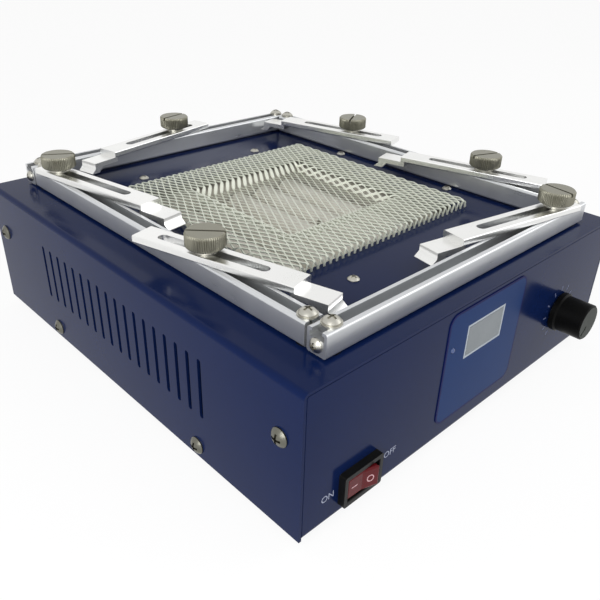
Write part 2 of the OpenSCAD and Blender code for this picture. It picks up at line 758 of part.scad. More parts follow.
module thumb_washer(i) color("#b9b9b4") at_arm(i, true) translate([0, 0, washer_z]) difference() {
    cylinder(d = washer_d, h = washer_t);
    translate([0, 0, -cut]) cylinder(d = thumb_shank_d + 2 * run_gap, h = washer_t + 2 * cut);
}

// Knurled head with chamfered rims and a screwdriver slot, on a collar and a plain shank
module thumb_screw(i) color("#8a8878") at_arm(i) difference() {
    rotate_extrude() polygon([
        [0, screw_tip_z], [thumb_shank_d / 2, screw_tip_z], [thumb_shank_d / 2, collar_z],
        [collar_d / 2, collar_z], [collar_d / 2, thumb_z],
        [thumb_d / 2 - thumb_edge, thumb_z], [thumb_d / 2, thumb_z + thumb_edge],
        [thumb_d / 2, thumb_z + thumb_h - thumb_edge], [thumb_d / 2 - thumb_edge, thumb_z + thumb_h],
        [0, thumb_z + thumb_h]]);
    rotate(thumb_slot_turns[i - 1]) translate([-thumb_d, -thumb_slot_w / 2, thumb_z + thumb_h - thumb_slot_h])
        cube([2 * thumb_d, thumb_slot_w, thumb_h]);
}

// Front panel fittings

module front_label() color("#3a4a85") centred() translate([0, front_y, case_z]) face_front()
    linear_extrude(label_t) difference() {
        translate([label_x, label_z]) round_rect(label_w, label_h, label_r);
        translate([window_x, window_z]) square([window_w + 2 * fit_gap, window_h + 2 * fit_gap], center = true);
        translate([led_x, led_z]) circle(d = led_d + 2 * screw_gap);
    }

module display_window() color("#b9b3a4") centred() translate([window_x, front_y + sheet_t, case_z + window_z])
    face_front() linear_extrude(sheet_t + label_t) square([window_w, window_h], center = true);

module power_led() color("#c33") centred() translate([led_x, front_y + sheet_t, case_z + led_z]) face_front() {
    cylinder(d = led_d, h = sheet_t + label_t + led_proud - led_d / 2);
    translate([0, 0, sheet_t + label_t + led_proud - led_d / 2]) sphere(d = led_d);
    translate([0, 0, -module_depth]) cylinder(d = led_flange_d, h = module_depth);
}

// Circuit board with the numeric display block, held off the panel by four pillars
module display_board() color("#2f6b3a") centred() translate([window_x, front_y + sheet_t, case_z + window_z]) {
    translate([0, module_depth, 0]) difference() {
        translate([-display_w / 2, 0, -display_h / 2]) cube([display_w, board_t, display_h]);
        translate([led_x - window_x, -cut, led_z - window_z]) face_back()
            cylinder(d = led_lead_d, h = board_t + 2 * cut);
    }
    translate([display_block_edge[0] - window_w / 2, 0, display_block_edge[1] - window_h / 2])
        cube([window_w - 2 * display_block_edge[0], module_depth + board_t / 2,
              window_h - 2 * display_block_edge[1]]);
    for (x = [-1, 1], z = [-1, 1])
        translate([x * (display_w / 2 - display_pillar_inset), 0, z * (display_h / 2 - display_pillar_inset)])
            face_back() cylinder(d = display_pillar_d, h = module_depth + board_t / 2);
}

module potentiometer() color("#9a9a9a") centred() translate([knob_x, front_y + sheet_t, case_z + knob_z]) {
    difference() {
        union() {
            face_back() cylinder(d = pot_d, h = pot_l);
            face_front() cylinder(d = bush_d, h = sheet_t + bush_l);
        }
        translate([0, pot_l - pot_floor, 0]) face_front()
            cylinder(d = shaft_d + 2 * run_gap, h = pot_l + sheet_t + bush_l);
    }
    for (x = [-1:1]) translate([x * pot_pin_pitch, pot_l / 2, -pot_d / 2 - pot_pin_drop])
        translate([-pot_pin[0] / 2, -pot_pin[1] / 2, 0]) cube(pot_pin);
}

module potentiometer_nut() color("silver") centred() translate([knob_x, front_y, case_z + knob_z]) face_front()
    difference() {
        cylinder(d = pot_nut_d, h = pot_nut_h, $fn = 6);
        translate([0, 0, -cut]) cylinder(d = bush_d + 2 * screw_gap, h = pot_nut_h + 2 * cut);
    }

// Places a shape on the knob's axis, +Z out of the panel, z = 0 at the knob's back
module on_knob() centred() translate([knob_x, front_y - knob_gap, case_z + knob_z]) face_front() children();

// Shaft from just above the potentiometer's floor to just below the knob's face disc
module knob_shaft() color("silver") on_knob() {
    shaft_root = knob_gap + sheet_t + pot_l - pot_floor - shaft_end_gap;
    translate([0, 0, -shaft_root]) cylinder(d = shaft_d, h = shaft_root + knob_l - knob_cap_t - shaft_end_gap);
}

module knob() color("#151515") on_knob() difference() {
    rotate_extrude() polygon([
        [0, 0], [knob_d / 2 + knob_skirt, 0], [knob_d / 2 + knob_skirt, knob_skirt_l],
        [knob_d / 2, knob_skirt_l + knob_skirt], [knob_d / 2, knob_l - knob_edge],
        [knob_d / 2 - knob_edge, knob_l], [0, knob_l]]);
    translate([0, 0, -cut]) cylinder(d = knob_hollow_d, h = knob_hollow_l + cut);
    translate([0, 0, -cut]) cylinder(d = shaft_d + 2 * screw_gap, h = knob_l - knob_cap_t);
    translate([0, 0, knob_l - knob_cap_t]) cylinder(d = knob_cap_d + 2 * screw_gap, h = knob_cap_t + cut);
}

// Grey face disc with a pointer groove
module knob_cap() color("#6a6f6c") on_knob() translate([0, 0, knob_l - knob_cap_t]) difference() {
    cylinder(d = knob_cap_d, h = knob_cap_t);
    rotate(knob_pointer) translate([-pointer_w / 2, knob_cap_d / 8, knob_cap_t / 2])
        cube([pointer_w, knob_cap_d / 3, knob_cap_t]);
}

// Bezel and body of the switch, open in front for the rocker
module switch_body() color("#161616") centred() translate([switch_x, front_y, case_z + switch_z]) difference() {
    union() {
        face_front() linear_extrude(switch_bezel_t) round_rect(switch_w, switch_h, switch_bezel_r);
        translate([-switch_body_w / 2, 0, -switch_body_h / 2])
            cube([switch_body_w, switch_body_l, switch_body_h]);
        for (x = [-1, 1]) translate([x * switch_tab_pitch / 2, switch_body_l - switch_tab_root, 0])
            translate([-switch_tab[0] / 2, 0, -switch_tab[2] / 2]) cube(switch_tab);
    }
    translate([-rocker_w / 2 - rocker_gap, -switch_bezel_t - cut, -rocker_h / 2 - rocker_side_gap])
        cube([rocker_w + 2 * rocker_gap, switch_bezel_t + cut + rocker_well, rocker_h + 2 * rocker_side_gap]);
    translate([0, rocker_pivot, 0])
        cylinder(d = rocker_pin_d + 2 * run_gap, h = switch_body_h + 2 * cut, center = true);
}

// Two faces that meet at a shallow angle over the pivot, tipped with the left side in
module switch_rocker() color("#b01f26") centred() translate([switch_x, rocker_pivot_y, case_z + switch_z])
    rotate(-rocker_tilt) {
        linear_extrude(rocker_h, center = true) polygon([
            [-rocker_w / 2, -rocker_peak], [0, -rocker_edge], [rocker_w / 2, -rocker_peak],
            [rocker_w / 2 - rocker_back_inset, rocker_back], [0, rocker_keel],
            [rocker_back_inset - rocker_w / 2, rocker_back]]);
        cylinder(d = rocker_pin_d, h = rocker_h + 2 * (rocker_side_gap + rocker_pin_l), center = true);
    }

// Rear inlet

// Body outline with the two upper corners cut off
module inlet_outline(w, h, c) polygon([
    [-w / 2, -h / 2], [w / 2, -h / 2], [w / 2, h / 2 - c], [w / 2 - c, h / 2],
    [-w / 2 + c, h / 2], [-w / 2, h / 2 - c]]);

// Places a shape on the rear panel, +Z out of it, with +Y up
module on_inlet() centred() translate([inlet_x, case_d / 2, case_z + inlet_z]) rotate([90, 0, 180]) children();

module power_inlet() color("#1b1b1b") on_inlet() difference() {
    union() {
        linear_extrude(inlet_flange_t) intersection() {
            stadium(inlet_flange_l, inlet_flange_h);
            square([inlet_flange_l, inlet_flange_h], center = true);
        }
        translate([0, 0, -inlet_body_l]) linear_extrude(inlet_body_l)
            inlet_outline(inlet_body_w, inlet_body_h, inlet_corner);
    }
    translate([0, 0, inlet_flange_t - socket_depth]) linear_extrude(socket_depth + cut)
        inlet_outline(socket_w, socket_h, inlet_corner);
    for (x = [-1, 1]) translate([x * inlet_screw_pitch / 2, 0, -cut])
        cylinder(d = inlet_screw_d + 2 * screw_gap, h = inlet_flange_t + 2 * cut);
    for (p = blade_places) translate([p[0] - blade_w / 2, p[1] - blade_h / 2, -inlet_body_l - cut])
        cube([blade_w, blade_h, inlet_body_l]);
}

module inlet_blades() color("#c8b98a") on_inlet() for (p = blade_places)
    translate([p[0] - blade_w / 2, p[1] - blade_h / 2, -inlet_body_l - blade_tail])
        cube([blade_w, blade_h, inlet_body_l + blade_tail + inlet_flange_t - socket_depth + blade_l]);

module inlet_screws() color("silver") on_inlet() for (x = [-1, 1])
    translate([x * inlet_screw_pitch / 2, 0, inlet_flange_t])
        pan_screw(inlet_screw_d, inlet_screw_l, inlet_screw_head_d, inlet_screw_head_h);

// Electronics

board_holes = [for (x = [-1, 1], y = [-1, 1])
    [board_x + x * (board_w / 2 - board_hole_inset), board_y + y * (board_d / 2 - board_hole_inset)]];

module board_standoffs() color("#c8b060") centred() for (p = board_holes) translate([p[0], p[1], floor_z])
    cylinder(d = standoff_d, h = standoff_h, $fn = 6);

module control_board() color("#2f6b3a") centred() translate([board_x, board_y, board_z]) {
    translate([-board_w / 2, -board_d / 2, 0]) cube([board_w, board_d, board_t]);
    translate([0, 0, board_t - part_sink]) {
        for (i = [0, 1]) translate([board_w / 2 - capacitor_inset - i * capacitor_pitch, capacitor_y, 0])
            cylinder(d = capacitor_d, h = capacitor_h);
        translate([relay_inset[0] - board_w / 2, relay_inset[1] - board_d / 2, 0]) cube(relay);
        translate([board_w / 2 - terminals_inset[0] - terminals[0], terminals_inset[1] - board_d / 2, 0])
            cube(terminals);
    }
}

// Small mains transformer: laminated core with the winding showing on both sides
module board_transformer() color("#c9a24a") centred()
    translate([board_x + transformer_x, board_y, board_z + board_t]) {
        translate([-transformer[0] / 2, -transformer_core / 2, 0])
            cube([transformer[0], transformer_core, transformer[2]]);
        translate([winding_inset - transformer[0] / 2, -transformer[1] / 2, winding_lift])
            cube([transformer[0] - 2 * winding_inset, transformer[1], winding_h]);
    }

// Plate with four upright fins beside the transformer
module triac_heatsink() color("#b8babc") centred()
    translate([board_x + heatsink_x, board_y + heatsink_y, board_z + board_t]) {
        translate([0, -heatsink_fin / 2, 0]) cube([heatsink[0], heatsink_fin, heatsink[2]]);
        for (i = [0:3]) translate([i * heatsink_pitch, -heatsink[1] / 2, 0])
            cube([heatsink_fin, heatsink[1], heatsink[2]]);
    }

base_chassis();
top_cover();
cover_screws();
rubber_feet();
foot_screws();
heater_guard();
guard_screws();
reflector_tray();
ceramic_heaters();
insulation_pad();
thermocouple();
control_board();
board_standoffs();
board_transformer();
triac_heatsink();
display_board();
display_window();
front_label();
power_led();
potentiometer();
potentiometer_nut();
switch_body();
power_inlet();
inlet_blades();
inlet_screws();
rail_front();
rail_back();
rail_left();
rail_right();
rail_screws();
rail_spacers();
rail_end_screws();
knob_shaft();
knob();
knob_cap();
switch_rocker();
for (i = [1:6]) {
    slide_nut(i);
    thumb_screw(i);
    thumb_washer(i);
    clamp_arm(i);
}
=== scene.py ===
import json
import math

import bmesh
import bpy
import numpy as np
from mathutils import Matrix, Vector


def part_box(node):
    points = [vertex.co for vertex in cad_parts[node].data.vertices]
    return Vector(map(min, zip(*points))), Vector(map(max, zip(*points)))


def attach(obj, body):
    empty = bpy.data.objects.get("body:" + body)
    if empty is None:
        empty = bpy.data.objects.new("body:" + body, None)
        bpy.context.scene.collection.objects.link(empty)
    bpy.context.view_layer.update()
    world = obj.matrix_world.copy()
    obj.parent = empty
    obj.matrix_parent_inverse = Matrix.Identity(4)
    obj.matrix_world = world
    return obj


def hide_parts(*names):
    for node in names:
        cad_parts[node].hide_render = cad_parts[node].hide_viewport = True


# Frame

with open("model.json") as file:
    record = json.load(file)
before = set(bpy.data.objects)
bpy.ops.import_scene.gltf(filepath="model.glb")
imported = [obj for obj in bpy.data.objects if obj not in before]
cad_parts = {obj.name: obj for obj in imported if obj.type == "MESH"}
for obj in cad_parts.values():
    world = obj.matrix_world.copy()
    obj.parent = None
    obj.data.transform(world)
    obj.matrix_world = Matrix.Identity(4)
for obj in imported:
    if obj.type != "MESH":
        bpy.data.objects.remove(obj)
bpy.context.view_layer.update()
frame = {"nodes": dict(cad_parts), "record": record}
MM = 0.001


def node_box(node):
    """Lowest and highest corner of a CAD node in millimetres."""
    low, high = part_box(node)
    return np.array(low) / MM, np.array(high) / MM


cover_low, cover_high = node_box("top_cover")
FRONT_Y = cover_low[1]
MID_Y = (cover_low[1] + cover_high[1]) / 2
CASE_Z = cover_low[2]
TOP_Z = cover_high[2]

# Sizes of the dressed pieces, in millimetres

DIP_W = 72.0
DIP_DEPTH = 5.6
WALL_LEAN = 0.6
MESH_PITCH = 2.05
# Meshes from the middle to the foot of the dip's wall, and from there to the outer fold
FLOOR_MESHES = 5.0
RING_MESHES = 3.5
STRAND_W = 0.62
WALL_STRAND_W = 1.4
STRAND_T = 0.6
STRAND_LEAN = math.radians(14)
STRAND_INSET = 0.3
STRAND_CLEAR = 0.02
# The zigzag is stretched by this and clipped, which leaves the bonds their length
BOND_STRETCH = 1.5
STEPS_PER_MESH = 16
FOLD_BLUR = 0.7

# Directions of the six screwdriver slots, in degrees from +X
THUMB_SLOT_TURNS = (-30, -44.5, 11, 30, -20, 79)
KNURL_TEETH = 56
KNURL_DEPTH = 0.42
KNURL_SMOOTH = math.radians(40)
THUMB_SLOT_W = 1.3
THUMB_SLOT_DEPTH = 1.6
THUMB_EDGE = 0.6
THUMB_HEAD_H = 6.3
THUMB_COLLAR_H = 0.9
THUMB_COLLAR_R = 4.5
THUMB_SHANK_R = 2.0
POINTS_PER_TOOTH = 3
SLOT_END_POINTS = 4

ARM_EDGE = 0.5
BEZEL_EDGE = 0.6
ROCKER_SOFT_EDGE = 0.7
INLET_EDGE = 0.5
# An edge is rounded where it is sharper than SHARP_EDGE and longer than LONG_EDGE, or BAR_EDGE on the arms,
# and no sharp edge that meets it is shorter than SHORT_EDGE
LONG_EDGE = 1.6
BAR_EDGE = 50.0
SHORT_EDGE = 0.6
SHARP_EDGE = math.radians(32)
FLAT_ANGLE = math.radians(0.6)

# Rocker: half width, distance of its ends and of its middle from the pivot, the pivot's depth behind the
# panel's face, tilt at rest
ROCKER_HALF = 7.6
ROCKER_PEAK = 5.4
ROCKER_DIP = 4.4
ROCKER_PIVOT = 1.5
ROCKER_TILT = math.radians(-9)

LABEL_R = 5.0
PRINT_T = 0.06
# Height of the words beside the switch, how far right of its middle each stands, and how far above
SWITCH_WORD_SIZE = 4.2
ON_OFFSET = -16.1
OFF_OFFSET = 18.7
WORD_RISE = 0.2
ROCKER_MARK_SIZE = 4.5
TICK_COUNT = 11
TICK_FAN = 150
TICK_INNER_R = 11.0
TICK_OUTER_R = 13.6
TICK_HALF_W = 0.35

# Camera solved from the photograph: angles in degrees, lens and place in millimetres, in the case's own frame

CAMERA_AZ = -44.55
CAMERA_EL = 29.80
CAMERA_ROLL = 1.81
CAMERA_LENS = 39.71
CAMERA_SENSOR = 36
CAMERA_AT = (-222.8, -233.4 + MID_Y, 192.2 + CASE_Z)

# Studio: the floor's half width in millimetres, the share of plain white that the camera sees there in place
# of the lit floor, that white's strength, and the air's light on matt surfaces. The lamps' aim, and each
# lamp's place and size, are in metres, and its power in watts.

FLOOR_HALF = 3000
FLOOR_GLOW_SHARE = 0.84
FLOOR_GLOW = 1.05
MATT_LIGHT = 0.5
WHITE = (1.0, 1.0, 1.0, 1.0)
LAMP_AIM = Vector((0, 0, 0.05))
LAMPS = {
    "key": ((-0.56, -0.34, 0.36), 0.5, 3.3),
    "fill": ((0.75, -0.6, 0.55), 0.7, 2.2),
    "back": ((0.3, 0.9, 0.7), 0.6, 0.12)}

# Materials


class Wire:
    """A value in a node tree. Arithmetic on it adds Math nodes."""

    def __init__(self, owner, socket):
        self.owner = owner
        self.socket = socket

    def math(self, operation, *operands):
        return self.owner.node("Math", {"operation": operation}, dict(enumerate(operands)))

    def __add__(self, other):
        return self.math("ADD", self, other)

    def __sub__(self, other):
        return self.math("SUBTRACT", self, other)

    def __mul__(self, other):
        return self.math("MULTIPLY", self, other)

    def __rsub__(self, other):
        return self.math("SUBTRACT", other, self)

    def __abs__(self):
        return self.math("ABSOLUTE", self)

    __radd__ = __add__
    __rmul__ = __mul__

    def larger(self, other):
        return self.math("MAXIMUM", self, other)

    def ramp(self, start, end):
        """0 below start, 1 above end, smooth between."""
        limits = {"Value": self, "From Min": start, "From Max": end, "To Min": 0.0, "To Max": 1.0}
        return self.owner.node("MapRange", {"interpolation_type": "SMOOTHSTEP"}, limits)


class Nodes:
    """A node tree whose sockets take numbers, colours or wires."""

    def __init__(self, tree):
        self.tree = tree

    def plug(self, socket, value):
        if isinstance(value, Wire):
            self.tree.links.new(value.socket, socket)
        else:
            socket.default_value = value

    def node(self, kind, settings, inputs, output=0):
        made = self.tree.nodes.new("ShaderNode" + kind)
        for key, value in settings.items():
            setattr(made, key, value)
        for key, value in inputs.items():
            self.plug(made.inputs[key], value)
        return Wire(self, made.outputs[output])

    def white_rays(self):
        """1 for rays from the camera, from gloss and through glass, and 0 for all others."""
        rays = self.node("LightPath", {}, {}).socket.node.outputs
        kinds = ("Camera", "Glossy", "Transmission")
        camera_ray, glossy_ray, through_ray = (Wire(self, rays[f"Is {kind} Ray"]) for kind in kinds)
        return camera_ray.larger(glossy_ray).larger(through_ray)


class Paint(Nodes):
    """One material with a Principled surface."""

    def __init__(self, name, **sockets):
        self.material = bpy.data.materials.new(name)
        self.material.use_nodes = True
        super().__init__(self.material.node_tree)
        self.surface = self.tree.nodes["Principled BSDF"]
        self.set(**sockets)

    def set(self, **sockets):
        for name, value in sockets.items():
            self.plug(self.surface.inputs[name.replace("_", " ")], value)

    def place(self, stretch=(1, 1, 1)):
        """Object coordinates in millimetres, each divided by its stretch."""
        spot = self.node("TexCoord", {}, {}, "Object")
        factors = tuple(1 / (MM * s) for s in stretch)
        return self.node("VectorMath", {"operation": "MULTIPLY"}, {0: spot, 1: factors})

    def axes(self):
        """The three object coordinates in millimetres."""
        split = self.node("SeparateXYZ", {}, {0: self.place()})
        return [Wire(self, out) for out in split.socket.node.outputs]

    def noise(self, size, detail=2.0, stretch=(1, 1, 1)):
        """Cloudy value from 0 to 1 with blobs of about the given size in millimetres."""
        return self.node("TexNoise", {}, {"Vector": self.place(stretch), "Scale": 1 / size, "Detail": detail})

    def mix(self, factor, first, second):
        """Colour between first and second."""
        return self.node("Mix", {"data_type": "RGBA"}, {0: factor, 6: first, 7: second}, 2)

    def bump(self, height, depth):
        """Normal of a relief whose heights from 0 to 1 span depth in millimetres."""
        return self.node("Bump", {}, {"Strength": 1.0, "Distance": depth * MM, "Height": height})


def srgb(code):
    """Linear colour of a six-digit web colour."""
    values = [int(code[i:i + 2], 16) / 255 for i in (1, 3, 5)]
    linear = [v / 12.92 if v <= 0.04045 else ((v + 0.055) / 1.055) ** 2.4 for v in values]
    return (*linear, 1.0)


def navy_paint():
    """Gloss paint on sheet steel: orange peel, cloudy depth of colour and a little dust in the gloss."""
    paint = Paint("navy_paint", IOR=1.165)
    cloud = paint.noise(55, 3)
    peel = paint.noise(1.7, 1)
    dust = paint.noise(7, 4)
    paint.set(
        Base_Color=paint.mix(cloud, srgb("#0b1a40"), srgb("#0f1f49")),
        Roughness=0.12 + dust * 0.1,
        Normal=paint.bump(peel, 0.008))
    return paint


def plain_metal(name, colour, roughness, grain=(1, 1, 1), tone=0.06, metallic=1.0):
    """Bare metal with a fine grain, drawn out along the axis that has the largest stretch."""
    paint = Paint(name, Metallic=metallic)
    lines = paint.noise(0.5, 3, grain)
    stain = paint.noise(14, 3)
    dark = tuple(c * (1 - tone * 2) for c in colour[:3]) + (1.0,)
    paint.set(
        Base_Color=paint.mix(stain, dark, colour),
        Roughness=roughness - 0.05 + lines * 0.1 + stain * 0.06,
        Normal=paint.bump(lines, 0.01))
    return paint


def mesh_metal():
    """Bright expanded metal with painted light on the dip's wall, by the share of wall its strands carry as
    an attribute.
    """
    paint = Paint("bright_mesh")
    wall = paint.node("Attribute", {"attribute_name": "wall"}, {}, "Fac")
    lines = paint.noise(0.5, 3)
    stain = paint.noise(14, 3)
    sheet = paint.mix(stain, srgb("#ccd0c2"), srgb("#dee2d4"))
    paint.set(
        # Painted light: the strands on the dip's wall are made lighter and paler
        Base_Color=paint.mix(wall, sheet, srgb("#f4f6ea")),
        Roughness=0.29 + lines * 0.1 + stain * 0.06,
        Metallic=0.35 - wall * 0.3,
        Normal=paint.bump(lines, 0.01))
    return paint


def tray_sheet():
    """Bright tray with painted shade along its rim.

    The rim is where the larger of |x| and |y - middle| passes the rods' ends, and the height nears the top.
    """
    paint = Paint("tray_sheet", Metallic=0.4)
    x, y, z = paint.axes()
    low, high = node_box("ceramic_heaters")
    rod_half = (high[1] - low[1]) / 2
    lines = paint.noise(0.5, 3, (1, 30, 1))
    stain = paint.noise(14, 3)
    wall = abs(x).larger(abs(y - MID_Y)).ramp(rod_half - 2, rod_half + 0.5)
    # Painted shade: the tray's walls turn dark grey towards the top
    rim_shade = wall * z.ramp(TOP_Z - 10, TOP_Z - 5)
    sheet = paint.mix(stain, srgb("#c8c6be"), srgb("#dad8d0"))
    paint.set(
        Base_Color=paint.mix(rim_shade, sheet, srgb("#55534d")),
        Roughness=0.29 + lines * 0.1 + stain * 0.06,
        Normal=paint.bump(lines, 0.01))
    return paint


def moulding(name, colour, roughness, relief=0.02, grain=0.5, ior=1.45):
    """Moulded plastic or rubber with a fine grain and uneven gloss."""
    paint = Paint(name, IOR=ior)
    skin = paint.noise(grain, 2)
    patch = paint.noise(9, 3)
    pale = tuple(min(1.0, c * 1.25 + 0.004) for c in colour[:3]) + (1.0,)
    paint.set(
        Base_Color=paint.mix(patch, colour, pale),
        Roughness=roughness - 0.06 + patch * 0.12,
        Normal=paint.bump(skin, relief))
    return paint


def label_film():
    """Blue overlay film with a dark line along its edge and a pale frame round the display window.

    Both follow the distance outside a rectangle, the larger of |x - middle| - half and |z - middle| - half.
    The film's own corners are round, so past the inner rectangle the two distances are joined as
    sqrt(dx^2 + dz^2).
    """
    paint = Paint("label_film", IOR=1.12)
    x, _, z = paint.axes()

    def beyond(node, inset=0.0):
        low, high = node_box(node)
        off_x = abs(x - (low[0] + high[0]) / 2) - ((high[0] - low[0]) / 2 - inset)
        off_z = abs(z - (low[2] + high[2]) / 2) - ((high[2] - low[2]) / 2 - inset)
        return off_x, off_z

    window_x, window_z = beyond("display_window")
    frame_line = 1.0 - window_x.larger(window_z).ramp(1.0, 1.25)
    corner_x, corner_z = (off.larger(0.0) for off in beyond("front_label", LABEL_R))
    corner = corner_x * corner_x + corner_z * corner_z
    edge_line = corner.math("SQRT", corner)
    weave = paint.noise(1.4, 1)
    cloud = paint.noise(30, 2)
    film = paint.mix(cloud, srgb("#102e60"), srgb("#173668"))
    edged = paint.mix(edge_line.ramp(LABEL_R - 1.1, LABEL_R - 0.8), film, srgb("#10174c"))
    paint.set(
        Base_Color=paint.mix(frame_line, edged, srgb("#b2bac2")),
        Roughness=0.2 + cloud * 0.08,
        Normal=paint.bump(weave, 0.003))
    return paint


def display_filter():
    """Unlit grey display behind a smooth filter."""
    paint = Paint("display_filter", Roughness=0.1, IOR=1.4)
    cloud = paint.noise(9, 2)
    paint.set(Base_Color=paint.mix(cloud, srgb("#6f767b"), srgb("#7d8488")))
    return paint


def heater_glaze():
    """Off-white glazed ceramic with brownish heat stains."""
    paint = Paint("heater_glaze", Roughness=0.3)
    stain = paint.noise(18, 4)
    paint.set(Base_Color=paint.mix(stain, srgb("#e2ddd1"), srgb("#f3f0e8")))
    return paint


ALUMINIUM = srgb("#d4d6d8")
paints = {
    "case_paint": navy_paint(),
    "screw_steel": plain_metal("zinc_screws", srgb("#b9b7ae"), 0.32),
    "foot_rubber": moulding("foot_rubber", srgb("#191919"), 0.75, 0.04),
    "guard_mesh": mesh_metal(),
    "tray_steel": tray_sheet(),
    "heater_ceramic": heater_glaze(),
    "insulation": moulding("mineral_felt", srgb("#e6e1d5"), 0.9, 0.2, 1.5),
    "board_laminate": moulding("board_green", srgb("#1f5a33"), 0.35),
    "contact_brass": plain_metal("brass", srgb("#c8a858"), 0.3),
    "winding_tape": moulding("winding_tape", srgb("#c69a34"), 0.45),
    "rail_aluminium": plain_metal("rail_along_y", ALUMINIUM, 0.27, (1, 60, 1), metallic=0.8),
    "window_plastic": display_filter(),
    "label_film": label_film(),
    "led_red": moulding("led_lens", srgb("#46557e"), 0.2),
    "black_plastic": moulding("black_plastic", srgb("#0a0a09"), 0.36, ior=1.25),
    "knob_black": moulding("knob_black", srgb("#020202"), 0.4, ior=1.15),
    "knob_grey": moulding("knob_grey", srgb("#252a25"), 0.5, ior=1.3),
    "rocker_red": moulding("rocker_red", srgb("#520c12"), 0.22, ior=1.25),
    "nut_steel": plain_metal("nut_steel", srgb("#aeaca2"), 0.34),
    "thumb_nickel": plain_metal("thumb_nickel", srgb("#8c8a7c"), 0.34, tone=0.08, metallic=0.75),
    "arm_metal": plain_metal("arm_metal", srgb("#eeeeec"), 0.26, tone=0.03)}
odd_paints = {
    "rail_front": plain_metal("rail_along_x", ALUMINIUM, 0.27, (60, 1, 1), metallic=0.8),
    "cover_screws": plain_metal("dull_zinc", srgb("#74736a"), 0.3)}
odd_paints["rail_back"] = odd_paints["rail_front"]
white_print = moulding("white_print", srgb("#979db2"), 0.5, 0.005)
rocker_print = moulding("rocker_print", srgb("#c09a9e"), 0.5, 0.005)
dial_print = moulding("dial_print", srgb("#59607e"), 0.5, 0.005)

slot_of = {row["node"]: row["material_slot"] for row in frame["record"]["subparts"]}
for node, shown in frame["nodes"].items():
    shown.data.materials.clear()
    shown.data.materials.append(odd_paints.get(node, paints[slot_of[node]]).material)

# Mesh helpers


def add_piece(name, mesh, body, paint, replaced=()):
    """Object of a finished mesh that rides on a body and takes a slot's finish."""
    mesh.materials.clear()
    mesh.materials.append(paint.material)
    piece = bpy.data.objects.new(name, mesh)
    bpy.context.scene.collection.objects.link(piece)
    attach(piece, body)
    if replaced:
        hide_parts(*replaced)
    return piece


def mesh_of(name, points, faces, smooth_angle=None):
    """Mesh of points in millimetres and lists of corners, smooth where faces meet under smooth_angle."""
    mesh = bpy.data.meshes.new(name)
    mesh.from_pydata((np.asarray(points) * MM).tolist(), [], [list(map(int, face)) for face in faces])
    mesh.update()
    if smooth_angle is not None:
        mesh.polygons.foreach_set("use_smooth", np.ones(len(mesh.polygons), bool))
        mesh.set_sharp_from_angle(angle=smooth_angle)
    return mesh


def ring_faces(rings, around):
    """Quads between rings of points that each close on themselves, numbered ring by ring."""
    r, a = np.meshgrid(np.arange(rings - 1), np.arange(around), indexing="ij")
    b = (a + 1) % around
    quads = np.stack([r * around + a, r * around + b, (r + 1) * around + b, (r + 1) * around + a], -1)
    return quads.reshape(-1, 4)


def softened(node, edge, body, across=(0, 0, 1), middle=None, over=LONG_EDGE):
    """Copy of a CAD node whose sharp edges over a given length are rounded, standing for that node.

    The flat faces are joined from triangles, but kept apart along a plane through the middle, square to
    across, so that a face with an opening becomes two faces without one.
    """
    middle = np.mean(node_box(node), axis=0) if middle is None else middle
    copy = bmesh.new()
    copy.from_mesh(frame["nodes"][node].data)
    bmesh.ops.remove_doubles(copy, verts=copy.verts, dist=1e-6)
    whole = [*copy.verts, *copy.edges, *copy.faces]
    halved = bmesh.ops.bisect_plane(copy, geom=whole, dist=1e-7, plane_co=middle * MM, plane_no=across)
    seam = set(halved["geom_cut"])
    joined = [line for line in copy.edges if line not in seam]
    bmesh.ops.dissolve_limit(copy, angle_limit=FLAT_ANGLE, verts=copy.verts, edges=joined)
    weight = copy.edges.layers.float.new("bevel_weight_edge")
    sharp = {line: line.calc_length() / MM for line in copy.edges if line.calc_face_angle(0) > SHARP_EDGE}
    for line, length in sharp.items():
        beside = min(sharp.get(other, length) for end in line.verts for other in end.link_edges)
        line[weight] = float(length > over and beside > SHORT_EDGE)
    mesh = bpy.data.meshes.new("soft_" + node)
    copy.to_mesh(mesh)
    copy.free()
    mesh.polygons.foreach_set("use_smooth", np.ones(len(mesh.polygons), bool))
    mesh.set_sharp_from_angle(angle=SHARP_EDGE)
    slot = slot_of[node]
    piece = add_piece("soft_" + node, mesh, body, paints[slot], [node])
    bevel = piece.modifiers.new("edges", "BEVEL")
    bevel.width = edge * MM
    bevel.segments = 3
    bevel.limit_method = "WEIGHT"
    facing = piece.modifiers.new("facing", "WEIGHTED_NORMAL")
    facing.keep_sharp = True


# Expanded-metal guard


def blurred(values, places, knots):
    """Piecewise-linear curve through knots, averaged over a short stretch so that its folds are round."""
    shifts = np.linspace(-FOLD_BLUR, FOLD_BLUR, 5)
    return np.mean([np.interp(places + s, knots, values) for s in shifts], axis=0)


def guard_folds(half_w, height):
    """Lengths along the flat sheet, from its middle, to the ends of dip floor, wall, top and outer fold."""
    floor_half = DIP_W / 2 - WALL_LEAN
    wall = math.hypot(DIP_DEPTH, 2 * WALL_LEAN)
    top_run = half_w - DIP_W / 2 - 2 * WALL_LEAN
    fold = math.hypot(height, WALL_LEAN)
    return np.cumsum([0, floor_half, wall, top_run, fold])


